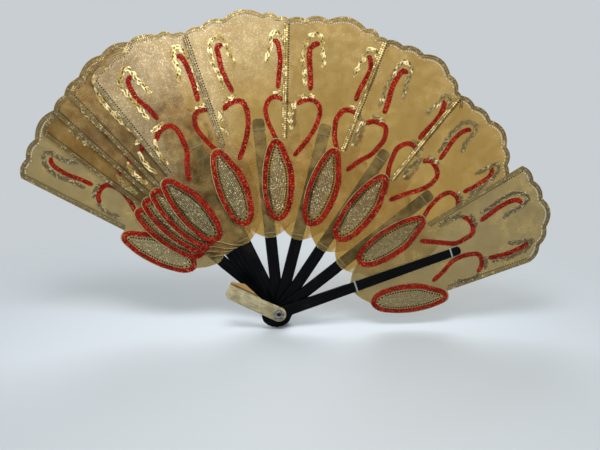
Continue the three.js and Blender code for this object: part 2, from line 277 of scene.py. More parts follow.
# Hide leaves
# Stiff scraped hide, amber and see-through, cut to a foot, two ears and a scalloped outer edge.
# A row of small round holes is punched through it along the scallops.
LEAF_FOOT = 62.4 * MM
FOOT_HALF_WIDTH = 2.2 * MM
FOOT_DEPTH = 10.4 * MM
FOOT_SHOULDER = 17.5 * MM
FOOT_SWELL = 1.6 * MM
EAR_LENGTH = 57.7 * MM
EAR_SPREAD = 39.6 * MM
EAR_ROOT_PULL = Vector((5.2, 17.5)) * MM
EAR_TIP_PULL = Vector((-20, 3)) * MM
EAR_END_PULL = Vector((7.7, -0.9)) * MM
EAR_NOTCH = Vector((6.1, -9)) * MM
MIDDLE_RISE = 5 * MM
SCALLOP_RISE = 2.4 * MM
CORNER_POINTS = 9
SCALLOP_POINTS = 11
EAR_POINTS = 25

# Each leaf is cut by hand. Reaches are in millimetres from the pivot, and notches give how far below
# the reach and how far to the side they lie, on an even half and on one that slopes down fully.
LEAF_REACHES = (236, 237, 240.5, 240, 237, 234, 234, 235, 230, 235.5)
RIGHT_SLOPES = (0, 0, 0, 0, 0.25, 0, 0, 0.58, 0.75, 1)
EVEN_NOTCHES = ((5, 17.5), (8.7, 34), (14.5, 48.7))
SLOPED_NOTCHES = ((7.6, -6.4), (16.4, -19.4), (28, -30.6))
COVERED_WIDTH_SHARE = 0.66
COVERED_DROP_SHARE = 0.8

RIM_HOLE = 0.48 * MM
RIM_HOLE_PITCH = 2.1 * MM
RIM_HOLE_INSET = 4 * MM
RIM_HOLES_SKIPPED = 2
RIM_HOLE_LEAST_GAP = RIM_HOLE_PITCH * 0.7
HOLE_SIDES = 10

# Where gold dust and a painted sheen lie and where the hide is scraped, in steps of UV_SPAN along and
# across a leaf.
DUST_AND_SHEEN = (0, 0.05, 0.1, 0.2, 0.9, 0.9, 0.3, 0.2, 0.1, 0)
DUST_AND_SHEEN_UP = (1.1, 1.6)
DUST_AND_SHEEN_SIDEWAYS = (0.05, 0.35)
DUST_AND_SHEEN_TOP = (1.55, 2.2)
OPEN_PAIR = (6, 7)
SCRAPED_START = (0, 0.02)
SCRAPED_BELOW_NOTCH = 0.05
SCRAPED_ABOVE_NOTCH = 0.2
SCRAPED_BESIDE_EAR = 0.6
SCRAPED_BODY_LOSS = 0.9
SCRAPED_TINT = (0.97, 0.95, 0.9, 1)

# The two end leaves get a greyer, less clear hide: painted shade that stands for the dimmer light at the
# ends of the fan.
PALE_LEAVES = (1, LEAF_COUNT)
HIDE_THIN = srgb(186, 170, 116)
HIDE_THICK = srgb(214, 188, 118)
HIDE_MOTTLE = srgb(184, 160, 96)
DUST_AND_SHEEN_TONE = srgb(226, 212, 174)
FLECK_AND_GLINT_TONE = srgb(255, 244, 214)
HIDE_GRAIN_DEPTH = 0.2 * MM


def flipped(point):
    return Vector((point.x, -point.y))


def arc(start, pull, end, steps):
    """A curve from start to end that leans towards one pull point."""
    first = start + (pull - start) * 2 / 3
    second = end + (pull - end) * 2 / 3
    return interpolate_bezier(start, first, second, end, steps)


def scallop(start, end, rise):
    across = (end - start).normalized()
    outwards = Vector((-across.y, across.x))
    if outwards.x < 0:
        outwards.negate()
    return arc(start, (start + end) / 2 + outwards * 2 * rise, end, SCALLOP_POINTS)[:-1]


def leaf_side():
    """Left edge of a leaf from its foot to the notch above its ear."""
    foot = Vector((LEAF_FOOT, FOOT_HALF_WIDTH))
    shoulder = Vector((LEAF_FOOT + FOOT_DEPTH, FOOT_SHOULDER))
    swell = (foot + shoulder) / 2 + Vector((-FOOT_SWELL, FOOT_SWELL))
    tip = Vector((shoulder.x + EAR_LENGTH, EAR_SPREAD))
    ear = interpolate_bezier(shoulder, shoulder + EAR_ROOT_PULL, tip + EAR_TIP_PULL, tip, EAR_POINTS)
    ear_end = arc(tip, tip + EAR_END_PULL, tip + EAR_NOTCH, CORNER_POINTS)
    return [*arc(foot, swell, shoulder, CORNER_POINTS)[:-1], *ear[:-1], *ear_end]


def left_notches(number):
    """Notches of the left half of a leaf's outer edge, from the middle to the corner."""
    return [Vector((LEAF_REACHES[number - 1] - drop, side)) * MM for drop, side in EVEN_NOTCHES]


def right_notches(number):
    """Notches of its right half, which is narrower, since the next leaf covers it, and may slope."""
    reach = LEAF_REACHES[number - 1]
    notches = []
    for (drop, side), (low_drop, low_side) in zip(EVEN_NOTCHES, SLOPED_NOTCHES):
        covered = Vector((reach - drop * COVERED_DROP_SHARE, -side * COVERED_WIDTH_SHARE))
        sloped = Vector((reach - low_drop, low_side))
        notches.append(covered.lerp(sloped, RIGHT_SLOPES[number - 1]) * MM)
    return notches


def outer_edge(number):
    """Scalloped edge from the left corner to the right corner."""
    notches = [*reversed(left_notches(number)), *right_notches(number)]
    edge = []
    for index, (start, end) in enumerate(zip(notches, notches[1:])):
        rise = MIDDLE_RISE if index == len(EVEN_NOTCHES) - 1 else SCALLOP_RISE
        edge += scallop(start, end, rise)
    return [*edge, notches[-1]]


def evenly(path, pitch, closed=False):
    """Points at an even pitch along a path, fitted so that the last lands on its end."""
    run = [*path, path[0]] if closed else path
    total = sum((b - a).length for a, b in zip(run, run[1:]))
    count = max(2, round(total / pitch))
    step = total / count
    spaced = []
    walked = 0.0
    for a, b in zip(run, run[1:]):
        length = (b - a).length
        while length > 0 and len(spaced) * step <= walked + length:
            spaced.append(a.lerp(b, (len(spaced) * step - walked) / length))
        walked += length
    if closed:
        return spaced[:count]
    return spaced if len(spaced) > count else [*spaced, run[-1]]


def beside(path, offset):
    """An open path moved sideways, to the right of the way it runs."""
    moved = []
    last = len(path) - 1
    for index, point in enumerate(path):
        along = (path[min(index + 1, last)] - path[max(index - 1, 0)]).normalized()
        moved.append(point + Vector((along.y, -along.x)) * offset)
    return moved


def apart(points, least):
    """The points that keep a least distance from those before them."""
    kept = []
    for point in points:
        if all((point - other).length > least for other in kept):
            kept.append(point)
    return kept


def facing(point, depth=0.0):
    """Stands a flat round shape up to face the front, at a point of a leaf's plane."""
    return Matrix.Translation((point.x, depth, point.y)) @ Matrix.Rotation(math.pi / 2, 4, "X")


def leaf_sheet(number, thickness):
    """A flat leaf in its own plane, front at zero depth, with its holes cut through."""
    bm = bmesh.new()
    left = leaf_side()
    outline = [*left, *outer_edge(number), *map(flipped, reversed(left))]
    corners = [bm.verts.new((point.x, 0, point.y)) for point in outline]
    for index, corner in enumerate(corners):
        bm.edges.new((corners[index - 1], corner))
    row = beside(evenly(outer_edge(number), RIM_HOLE_PITCH), RIM_HOLE_INSET)
    row = row[RIM_HOLES_SKIPPED:-RIM_HOLES_SKIPPED]
    for point in apart(row, RIM_HOLE_LEAST_GAP):
        bmesh.ops.create_circle(bm, radius=RIM_HOLE, segments=HOLE_SIDES, matrix=facing(point))
    bmesh.ops.triangle_fill(bm, use_beauty=True, edges=bm.edges[:])
    walls = bmesh.ops.extrude_face_region(bm, geom=bm.faces[:])
    back = [item for item in walls["geom"] if isinstance(item, bmesh.types.BMVert)]
    bmesh.ops.translate(bm, verts=back, vec=(0, thickness, 0))
    bmesh.ops.recalc_face_normals(bm, faces=bm.faces)
    draw_uv(bm, Matrix.Identity(4))
    dust_and_sheen = bm.verts.layers.float.new("dust_and_sheen")
    for vert in bm.verts:
        vert[dust_and_sheen] = DUST_AND_SHEEN[number - 1]
    return bm


def next_edge():
    """The next leaf's left edge as it crosses an open leaf, from its low end to its high end."""
    leaf, following = OPEN_PAIR
    step = Matrix.Rotation(math.radians(LEAF_ANGLES[following - 1] - LEAF_ANGLES[leaf - 1]), 2)
    return [step @ point for point in (leaf_side()[-1], left_notches(following)[-1])]


def scraped_margin(hide, along, across):
    """How clear the hide is scraped: only past the next leaf's edge, and most of all above the ear."""
    low, high = (end / UV_SPAN for end in next_edge())
    past_edge = low.y + (along - low.x) * ((high.y - low.y) / (high.x - low.x)) - across
    above_ear = hide.between(along, low.x - SCRAPED_BELOW_NOTCH, low.x + SCRAPED_ABOVE_NOTCH)
    fully = SCRAPED_BESIDE_EAR + above_ear * (1 - SCRAPED_BESIDE_EAR)
    return hide.between(past_edge, *SCRAPED_START) * fully


def hide_finish(name, tint, body, covered):
    """See-through hide with a share of opaque body, which grows where the hide is thick and in the zone
    of gold dust and painted sheen.
    Where the next leaf covers a leaf, its covered margin is scraped thin and clear."""
    hide = Finish(bpy.data.materials.new(name))
    along, across = hide.along_and_across()
    clouds = hide.noise(scale=45, detail=3)
    mottle = hide.noise(scale=150, detail=4, roughness=0.6)
    specks = hide.noise(scale=1100, detail=1)
    # This zone is partly gold dust and partly a painted sheen: a paler tone towards the top of the
    # middle leaves, and pale flecks that stand partly for glints.
    dust_and_sheen_share = hide.between(along, *DUST_AND_SHEEN_UP) * hide.between(abs(across), *DUST_AND_SHEEN_SIDEWAYS)
    dust_and_sheen_share = dust_and_sheen_share.math("MAXIMUM", dust_and_sheen_share, hide.between(along, *DUST_AND_SHEEN_TOP)) * hide.kept("dust_and_sheen")
    flecks_and_glints = hide.between(specks, 0.55, 0.72) * dust_and_sheen_share * 0.7
    thick = hide.between(clouds, 0.38, 0.66)
    colour = hide.blend(thick, HIDE_THIN, HIDE_THICK)
    colour = hide.blend(hide.between(mottle, 0.25, 0.75), HIDE_MOTTLE, colour)
    colour = hide.blend(dust_and_sheen_share * 0.5, colour, DUST_AND_SHEEN_TONE)
    colour = hide.blend(flecks_and_glints, colour, FLECK_AND_GLINT_TONE)
    shell = hide.surface(
        Base_Color=colour,
        Roughness=0.32 - flecks_and_glints * 0.1,
        Specular_IOR_Level=0.8,
        Metallic=flecks_and_glints * 0.3,
        Normal=hide.bump(mottle * 0.7 + specks * 0.3, 0.5, HIDE_GRAIN_DEPTH),
    )
    body_share = body + thick * 0.09 + hide.between(mottle, 0.3, 0.7) * 0.1
    body_share = body_share + dust_and_sheen_share * 0.2 + flecks_and_glints * 0.25
    clear = hide.node("ShaderNodeBsdfTransparent", {}, {"Color": tint})
    if covered:
        thinned = scraped_margin(hide, along, across)
        scraped = hide.node("ShaderNodeBsdfTransparent", {}, {"Color": SCRAPED_TINT})
        clear = hide.node("ShaderNodeMixShader", {}, {0: thinned, 1: clear, 2: scraped})
        body_share = body_share * (1 - thinned * SCRAPED_BODY_LOSS)
    return hide.done(hide.node("ShaderNodeMixShader", {}, {0: body_share, 1: clear, 2: shell}))


def on_leaf(number):
    """Places what is drawn in a leaf's plane on that leaf's front face."""
    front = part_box(f"leaf_{number}")[0].y
    return turned(number) @ Matrix.Translation((0, front, 0))


amber_hide = hide_finish("amber_hide", tint=(0.72, 0.55, 0.26, 1), body=0.07, covered=True)
# The end leaves' hide is greyer and less clear, as painted shade for the dimmer light at the ends of the
# fan.
pale_hide = hide_finish("pale_hide", tint=(0.6, 0.52, 0.36, 1), body=0.12, covered=False)
for number in LEAF_NUMBERS:
    node = f"leaf_{number}"
    low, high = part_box(node)
    bm = leaf_sheet(number, high.y - low.y)
    bmesh.ops.transform(bm, matrix=on_leaf(number), verts=bm.verts)
    hide = pale_hide if number in PALE_LEAVES else amber_hide
    piece(bm, f"hide_leaf_{number}", hide, body_of_leaf(number), [node])


# Red paint
# Thick red paint laid by hand in raised strokes: a crook, a loop and a band round each ear that shows.
# The strokes were pressed with a small round tool while wet, which leaves a row of ridges.
RED_CROOK = ((177, 17.3), (186.8, 20.6), (196, 23.2), (204, 24.4), (209.8, 23.2), (211.6, 19.4))
RED_LOOP = (
    (164.5, 25.3), (168.5, 22), (170.8, 16), (169, 10), (162.5, 7), (155, 6.8), (147, 9.2),
    (137.5, 13.2), (126.5, 17.8),
)
EAR_RING = (
    (75.9, 20.6), (80.2, 26.6), (89, 31.2), (99.5, 34.8), (115, 37.6), (125.4, 37.7), (131.6, 36.6),
    (133.8, 33.4), (131.6, 29.2), (125.2, 24.7), (116.2, 18.6), (105.6, 15.1), (95.5, 13.3),
    (85, 13), (78, 15.6),
)
STROKE_POINTS = 13
DRAWN_REACH = 234
STRETCHED_RUN = (165 * MM, 219 * MM)
NARROWED_RUN = (150 * MM, 220 * MM)
RIGHT_NARROWING = 0.13
SLOPE_NARROWING = 0.24
SLOPE_DROP = 10.2
RED_WIDTH = 5 * MM
RED_FULL_WIDTH = RED_WIDTH * 1.1
RED_WIDTH_RANGE = (0.9, 1.06)
RED_HEIGHT = 0.28 * MM
EAR_BAND = 4.3 * MM
EAR_BAND_SWELL = 0.2
RIDGE_PITCH = 2.1 * MM
RIDGE_STEP = RIDGE_PITCH / 5
STROKE_RIDGE = 0.24
BAND_RIDGE = 0.2
RIDGE_WAVER = 0.05
BLUNT_END = 0.12
HAND_WOBBLE = 0.4 * MM
RED_SEED = 100
PAINT_CREASE = 60
RED_DEEP = srgb(102, 9, 2)
RED_BRIGHT = srgb(134, 19, 5)
RED_MOTTLE = srgb(72, 3, 2)
RED_HOLLOW_SHADE = srgb(58, 6, 4)
RED_PAINTED_GLINT = srgb(224, 126, 90)
RED_GRAIN_DEPTH = 0.14 * MM


def through(points, closed=False):
    """A smooth path through a few points."""
    count = len(points)
    path = []
    for index in range(count if closed else count - 1):
        if closed:
            before, start, end, after = (points[(index + step) % count] for step in (-1, 0, 1, 2))
        else:
            start, end = points[index], points[index + 1]
            before = points[max(index - 1, 0)]
            after = points[min(index + 2, count - 1)]
        leaving = start + (end - before) / 6
        arriving = end - (after - start) / 6
        path += interpolate_bezier(start, leaving, arriving, end, STROKE_POINTS)[:-1]
    return path if closed else [*path, points[-1]]


def share_between(value, low, high):
    return min(max((value - low) / (high - low), 0), 1)


def on_side(points, side, number):
    """A stroke's points, given for the left half of a middle leaf, put on the left (1) or right (-1)
    half of any leaf: drawn out with its reach, and drawn in where its right half narrows and slopes."""
    slope = RIGHT_SLOPES[number - 1] if side < 0 else 0
    tightness = RIGHT_NARROWING + SLOPE_NARROWING * slope if side < 0 else 0
    longer = (LEAF_REACHES[number - 1] - DRAWN_REACH) * MM
    placed = []
    for point in points:
        outwards = share_between(point.x, *STRETCHED_RUN)
        narrowing = share_between(point.x, *NARROWED_RUN)
        narrowing *= tightness * narrowing * (3 - 2 * narrowing)
        drop = SLOPE_DROP * slope * point.y / EVEN_NOTCHES[-1][1]
        placed.append(Vector((point.x + outwards * (longer - drop), side * point.y * (1 - narrowing))))
    return placed


def by_hand(points, hand):
    """Points in millimetres, each a little off, as a hand lays them."""
    laid = []
    for point in points:
        slip = Vector((hand.gauss(0, HAND_WOBBLE), hand.gauss(0, HAND_WOBBLE)))
        laid.append(Vector(point) * MM + slip)
    return laid


def painted_sides(number):
    """The halves of a leaf whose ear shows and is painted: the right one only on the front leaf."""
    return (1, -1) if number == LEAF_COUNT else (1,)


def ear_ring(side):
    """Middle line of the band round an ear, up the outer side first."""
    return through([Vector((u, v * side)) * MM for u, v in EAR_RING], True)


def ear_band_half(share):
    """Half the band's width at a share of the way round the ear: wider on the inner side."""
    return EAR_BAND / 2 * (1 + EAR_BAND_SWELL * (1 - math.sin(2 * math.pi * share)))


def ridged(path, halves, depth, hand):
    """Half widths along a stroke, drawn in between its ridges."""
    step = (path[1] - path[0]).length
    phase = hand.random()
    drawn_in = []
    for index, half in enumerate(halves):
        ridge = 0.5 + 0.5 * math.cos(2 * math.pi * (index * step / RIDGE_PITCH + phase))
        drawn_in.append(half * (1 - depth * ridge) * (1 + hand.uniform(-RIDGE_WAVER, RIDGE_WAVER)))
    return drawn_in


def tapered(path, width):
    """Half widths of a stroke that rounds off at both ends."""
    step = (path[1] - path[0]).length
    last = len(path) - 1
    ends = [min(index, last - index) * step / (width / 2) for index in range(len(path))]
    return [width / 2 * math.sqrt(min(1, BLUNT_END + end)) for end in ends]


def swept(name, runs, radius, resolution):
    """Round runs as one mesh. Each gives its points, its thickness at each and whether it closes."""
    curve = bpy.data.curves.new(name, "CURVE")
    curve.dimensions = "3D"
    curve.bevel_depth = radius
    curve.bevel_resolution = resolution
    curve.use_fill_caps = True
    for points, thicknesses, closed in runs:
        spline = curve.splines.new("POLY")
        spline.points.add(len(points) - 1)
        for made, point, thickness in zip(spline.points, points, thicknesses):
            made.co = (*point, 1)
            made.radius = thickness
        spline.use_cyclic_u = closed
    holder = bpy.data.objects.new(name, curve)
    mesh = bpy.data.meshes.new_from_object(holder)
    bpy.data.objects.remove(holder)
    bpy.data.curves.remove(curve)
    bm = bmesh.new()
    bm.from_mesh(mesh)
    bpy.data.meshes.remove(mesh)
    return bm


def lay_paint(name, finish, strokes, height, full_width, number, shine=0.0):
    """Raised strokes on a leaf's front as one piece: round-backed runs pressed flat, which keep their
    crest and how brightly they shine as values."""
    runs = [([(p.x, 0, p.y) for p in path], halves, closed) for path, halves, closed in strokes]
    bm = swept(name, runs, radius=1, resolution=1)
    bmesh.ops.remove_doubles(bm, verts=bm.verts, dist=MERGE_DISTANCE)
    bmesh.ops.scale(bm, vec=(1, 2 * height / full_width, 1), verts=bm.verts)
    crest_layer = bm.verts.layers.float.new("crest")
    shine_layer = bm.verts.layers.float.new("shine")
    for vert in bm.verts:
        vert[crest_layer] = max(0.0, -vert.co.y / height)
        vert[shine_layer] = shine
    bmesh.ops.recalc_face_normals(bm, faces=bm.faces)
    bmesh.ops.transform(bm, matrix=on_leaf(number), verts=bm.verts)
    body = body_of_leaf(number)
    piece(bm, f"{name}_{number}", finish, body, crease=PAINT_CREASE)


def red_finish():
    """Deep red with darker mottling, painted shade on its low crests and small painted highlights on its
    high ones.
    """
    red = Finish(bpy.data.materials.new("red_paint"))
    crest = red.kept("crest")
    clouds = red.noise(scale=150, detail=3)
    mottle = red.noise(scale=620)
    grain = red.noise(scale=1100)
    painted_glints = red.between(red.noise(scale=1000, detail=1), 0.57, 0.69)
    colour = red.blend(red.between(clouds, 0.35, 0.65), RED_DEEP, RED_BRIGHT)
    colour = red.blend(red.between(mottle, 0.44, 0.62) * 0.6, colour, RED_MOTTLE)
    # Low crests, at the stroke's edges and in the dips between its ridges, get painted shade.
    colour = red.blend(red.between(crest, 0.02, 0.4), RED_HOLLOW_SHADE, colour)
    # Pale painted highlights on the higher crests.
    colour = red.blend(painted_glints * red.between(crest, 0.3, 0.6) * 0.55, colour, RED_PAINTED_GLINT)
    return red.coated(
        Base_Color=colour,
        Roughness=0.24 + grain * 0.2,
        Specular_IOR_Level=0.08,
        Normal=red.bump(grain, 0.6, RED_GRAIN_DEPTH),
    )


red_paint = red_finish()
for number in LEAF_NUMBERS:
    hand = random.Random(RED_SEED + number)
    strokes = []
    for side in (1, -1):
        for line in (RED_CROOK, RED_LOOP):
            path = evenly(through(on_side(by_hand(line, hand), side, number)), RIDGE_STEP)
            halves = tapered(path, RED_WIDTH * hand.uniform(*RED_WIDTH_RANGE))
            strokes.append((path, ridged(path, halves, STROKE_RIDGE, hand), False))
    for side in painted_sides(number):
        path = evenly(ear_ring(side), RIDGE_STEP, True)
        halves = [ear_band_half(index / len(path)) for index in range(len(path))]
        strokes.append((path, ridged(path, halves, BAND_RIDGE, hand), True))
    lay_paint("red_paint", red_paint, strokes, RED_HEIGHT, RED_FULL_WIDTH, number)


# Gold ropes
# Bold strokes of gold paint that hug the red ones: thin strands that twist round each other,
# laid over a broad dark stroke that shows in the gaps and is partly painted shadow beside the strands.
GOLD_CROOK = (
    (179.7, 23.2), (186, 24.6), (191, 26.2), (198, 28.2), (204, 29.2), (210.5, 29), (216, 25.8),
    (217.4, 22), (214.8, 18.6), (208.2, 16.8), (202.6, 15.2), (195, 11.8),
)
GOLD_LINK = ((173.7, 13.6), (173, 19), (171.3, 25.5))
GOLD_TAIL = ((166.5, 26.8), (160, 28), (152, 27.4), (145, 24.2))
ROPE_WIDTH = 5.2 * MM
ROPE_HEIGHT = 0.28 * MM
ROPE_STEP = 0.45 * MM
ROPE_STRAND = 1.6 * MM
ROPE_FULL_STRAND = ROPE_STRAND * 1.1
ROPE_LEADS = (0, 2.1, 4.2)
ROPE_SWAY = 0.8
ROPE_STRAY = 0.2
ROPE_END = 0.3
STRAND_SHARE = 0.75
STRAND_SWELL = 0.25
STRAND_RANGE = (0.88, 1.1)
TWIST = 15 * MM
GROUND_WIDTH = 3.8 * MM
GROUND_FULL_WIDTH = GROUND_WIDTH * 1.12
GROUND_RANGE = (0.8, 1.12)
GROUND_HEIGHT = 0.1 * MM
GROUND_STEP = 0.8 * MM
GROUND_LEAST_SHARE = 0.3
GROUND_SHINE_SHARE = 0.7
# How brightly each leaf's ropes are painted, which stands for how the light catches them: painted
# highlight where high, painted shade where low.
ROPE_SHINE = (0.2, 0.6, 0.85, 1, 1, 0.85, 0.85, 0.55, 0.35, 0.2)
ROPE_SEED = 200
GOLD_SHADED_DULL = srgb(56, 48, 30)
GOLD_DULL = srgb(160, 132, 62)
GOLD_HOLLOW_SHADE = srgb(40, 32, 14)
GOLD_PAINTED_GLINT = srgb(206, 196, 158)
GOLD_GRAIN = srgb(92, 74, 34)
GOLD_GRAIN_DEPTH = 0.12 * MM
GROUND_SHADED_GREY = srgb(66, 58, 38)
GROUND_GOLD = srgb(94, 74, 32)
GROUND_DARK = srgb(36, 28, 12)


def gold_finish(name, highlight_tone, highlight_threshold, glint_share):
    """Gold paint with painted shade on its low crests and painted highlights in patches on its high
    ones.
    A low shine value paints it dull, as if in shade, with pale painted glints. A greater
    highlight_threshold leaves fewer highlights."""
    gold = Finish(bpy.data.materials.new(name))
    crest = gold.kept("crest")
    shine = gold.kept("shine")
    grain = gold.noise(scale=900)
    highlight_patches = gold.noise(scale=190)
    dull = gold.blend(shine, GOLD_SHADED_DULL, GOLD_DULL)
    # Low crests, at the edges of each bead and strand, get painted shade.
    colour = gold.blend(gold.between(crest, 0.05, 0.45), GOLD_HOLLOW_SHADE, dull)
    highlight_patches = gold.between(highlight_patches + shine * 0.3, highlight_threshold + 0.3, highlight_threshold + 0.44)
    # Bright patches on the high crests are painted highlights.
    colour = gold.blend(gold.between(crest, 0.3, 0.6) * highlight_patches, colour, highlight_tone)
    painted_glints = gold.between(gold.noise(scale=560), 0.52, 0.62) * gold.between(crest, 0.25, 0.6)
    # Pale painted glints on the gold with a low shine value.
    colour = gold.blend(painted_glints * (1 - shine) * glint_share, colour, GOLD_PAINTED_GLINT)
    colour = gold.blend(gold.between(grain, 0.54, 0.68) * 0.6, colour, GOLD_GRAIN)
    return gold.coated(
        Base_Color=colour,
        Metallic=0.35,
        Roughness=0.24 + grain * 0.2,
        Normal=gold.bump(grain, 0.6, GOLD_GRAIN_DEPTH),
    )


def ground_finish():
    """The dark stroke under a rope, partly painted shadow beside its strands, greyer on leaves with a
    low shine value.
    """
    ground = Finish(bpy.data.materials.new("dark_gold_and_shadow"))
    grain = ground.noise(scale=800, detail=3)
    colour = ground.blend(ground.kept("shine"), GROUND_SHADED_GREY, GROUND_GOLD)
    colour = ground.blend(ground.between(grain, 0.45, 0.65), colour, GROUND_DARK)
    return ground.coated(Base_Color=colour, Roughness=0.4 + grain * 0.2, Metallic=0.2)


def rope(path, hand):
    """Thin strands that twist round each other along a path."""
    run = evenly(path, ROPE_STEP)
    step = (run[1] - run[0]).length
    sides = beside(run, 1)
    twists = max(1, round(len(run) * step / TWIST))
    strands = []
    for lead in ROPE_LEADS:
        stray = hand.uniform(0, 2 * math.pi)
        wavering = []
        halves = []
        for index, point in enumerate(run):
            turn = 2 * math.pi * twists * index / len(run)
            ends = min(1, ROPE_END + min(index, len(run) - index) * step / ROPE_WIDTH)
            sway = ROPE_SWAY * math.sin(turn + lead) + ROPE_STRAY * math.sin(3 * turn + stray)
            aside = (sides[index] - point) * sway * ends * (ROPE_WIDTH - ROPE_STRAND) / 2
            wavering.append(point + aside)
            swell = STRAND_SHARE + STRAND_SWELL * math.sin(2 * turn + stray)
            halves.append(ROPE_STRAND / 2 * swell * hand.uniform(*STRAND_RANGE))
        strands.append((wavering, halves, False))
    return strands


def rope_ground(path, width, hand):
    """The broad uneven stroke under a rope."""
    run = evenly(path, GROUND_STEP)
    return run, [half * hand.uniform(*GROUND_RANGE) for half in tapered(run, width)], False


gold_paint = gold_finish("gold_paint", srgb(240, 217, 156), highlight_threshold=0.4, glint_share=0.8)
dark_gold_and_shadow = ground_finish()
for number in LEAF_NUMBERS:
    hand = random.Random(ROPE_SEED + number)
    shine = ROPE_SHINE[number - 1]
    # The painted shadow under the ropes is widest on the leaves whose gold is painted brightest.
    ground_width = GROUND_WIDTH * (GROUND_LEAST_SHARE + GROUND_SHINE_SHARE * shine)
    strokes = []
    grounds = []
    for side in (1, -1):
        for line in (GOLD_CROOK, GOLD_LINK, GOLD_TAIL):
            path = through(on_side(by_hand(line, hand), side, number))
            strokes += rope(path, hand)
            grounds.append(rope_ground(path, ground_width, hand))
    lay_paint("gold_ropes", gold_paint, strokes, ROPE_HEIGHT, ROPE_FULL_STRAND, number, shine)
    lay_paint("rope_grounds", dark_gold_and_shadow, grounds, GROUND_HEIGHT, GROUND_FULL_WIDTH, number, shine)


# Gold borders
# Two rows of gold beads along each side edge, and two darker rows round the scallops, all tooled into
# wet paint. How bright their gold is on each leaf stands for how the light catches it: painted
# highlight, brightest along the sides of three leaves, and painted shade on the rest.
BEAD_PITCH = 1.5 * MM
BEAD_HEIGHT = 0.26 * MM
BEAD_SIZES = (0.55, 1.15)
BEAD_DIP = 0.5
STEPS_PER_BEAD = 5
SIDE_ROWS = (0.8 * MM, 2.3 * MM)
SIDE_WIDTH = 1.6 * MM
SIDE_FULL_WIDTH = SIDE_WIDTH * BEAD_SIZES[1]
# How bright each leaf's side borders and rims are painted: painted highlight where high, painted shade
# where low.
SIDE_SHINE = (0.2, 0.2, 0.25, 0.3, 0.35, 0.15, 0.85, 0.9, 1, 0.35)
RIM_ROWS = (0.9 * MM, 2.4 * MM)
RIM_WIDTH = 1.9 * MM
RIM_FULL_WIDTH = RIM_WIDTH * BEAD_SIZES[1]
RIM_SHINE = (0.2, 0.25, 0.25, 0.3, 0.5, 0.55, 0.45, 0.15, 0.1, 0.15)
BORDER_SEED = 300


def beaded(path, width, pitch, hand):
    """A line of beads of uneven size."""
    run = evenly(path, pitch / STEPS_PER_BEAD)
    step = (run[1] - run[0]).length
    sizes = [hand.uniform(*BEAD_SIZES) for _ in run]
    halves = []
    for index in range(len(run)):
        beads = index * step / pitch
        dip = 0.5 + 0.5 * math.cos(2 * math.pi * beads)
        halves.append(width / 2 * sizes[int(beads)] * (1 - BEAD_DIP * dip))
    return run, halves, False


def side_edges(number):
    """The straight edges above a leaf's ears that show and are painted, each with the leaf to its right.
    The next leaf covers the right one, except on the front leaf."""
    notch = leaf_side()[-1]
    left = [notch, left_notches(number)[-1]]
    right = [right_notches(number)[-1], flipped(notch)]
    return [left, right] if number == LEAF_COUNT else [left]


border_gold = gold_finish("border_gold", srgb(250, 228, 162), highlight_threshold=0.36, glint_share=0.8)
rim_gold = gold_finish("rim_gold", srgb(214, 188, 126), highlight_threshold=0.34, glint_share=0.5)
for number in LEAF_NUMBERS:
    hand = random.Random(BORDER_SEED + number)
    sides = []
    for edge in side_edges(number):
        sides += [beaded(beside(edge, inset), SIDE_WIDTH, BEAD_PITCH, hand) for inset in SIDE_ROWS]
    shine = SIDE_SHINE[number - 1]
    lay_paint("gold_border", border_gold, sides, BEAD_HEIGHT, SIDE_FULL_WIDTH, number, shine)
    edge = outer_edge(number)
    rims = [beaded(beside(edge, inset), RIM_WIDTH, BEAD_PITCH, hand) for inset in RIM_ROWS]
    shine = RIM_SHINE[number - 1]
    lay_paint("gold_rim", rim_gold, rims, BEAD_HEIGHT, RIM_FULL_WIDTH, number, shine)


# Ear filling
# Inside each red band the ear is filled with close rows of small pebbles of dull gold and silver paint.
# They are dotted on side by side. Their tops get a painted sparkle and the gaps between them painted
# shade.
PEBBLE_PITCH = 1.35 * MM
PEBBLE_WIDTH = 1.35 * MM
PEBBLE_FULL_WIDTH = PEBBLE_WIDTH * BEAD_SIZES[1]
PEBBLE_HEIGHT = 0.26 * MM
PEBBLE_INSET = 4.2 * MM
PEBBLE_LEAN = 0.42
ROW_SAMPLES = 60
ROW_LEAST_SAMPLES = 3
# How much painted sparkle each leaf's ear filling gets.
EAR_SHINE = (0.85, 0.9, 0.95, 1, 0.55, 0.9, 1, 0.65, 0.7, 0.25)
EAR_SEED = 400
PEBBLE_GAP_SHADE = srgb(60, 52, 30)
PEBBLE_LIGHT = srgb(124, 113, 78)
PEBBLE_GRAIN = srgb(82, 72, 42)
PEBBLE_PAINTED_SPARKLE = srgb(246, 234, 190)
PEBBLE_GRAIN_DEPTH = 0.12 * MM


def filling_finish():
    """Dull gold pebbles with painted shade in their gaps and a painted sparkle, most on the ears that
    shine.
    """
    filling = Finish(bpy.data.materials.new("ear_filling"))
    crest = filling.kept("crest")
    grain = filling.noise(scale=520)
    # Painted sparkle on the pebbles' tops.
    painted_sparkle = filling.between(filling.noise(scale=950, detail=1), 0.54, 0.66)
    painted_sparkle = painted_sparkle * (0.25 + filling.kept("shine") * 0.75) * filling.between(crest, 0.2, 0.5)
    # Low crests, in the gaps between pebbles, get painted shade.
    colour = filling.blend(filling.between(crest, 0.05, 0.6), PEBBLE_GAP_SHADE, PEBBLE_LIGHT)
    colour = filling.blend(filling.between(grain, 0.48, 0.62) * 0.6, colour, PEBBLE_GRAIN)
    colour = filling.blend(painted_sparkle * 0.8, colour, PEBBLE_PAINTED_SPARKLE)
    return filling.coated(
        Base_Color=colour,
        Metallic=0.2,
        Roughness=0.24 + grain * 0.2,
        Normal=filling.bump(grain, 0.5, PEBBLE_GRAIN_DEPTH),
    )


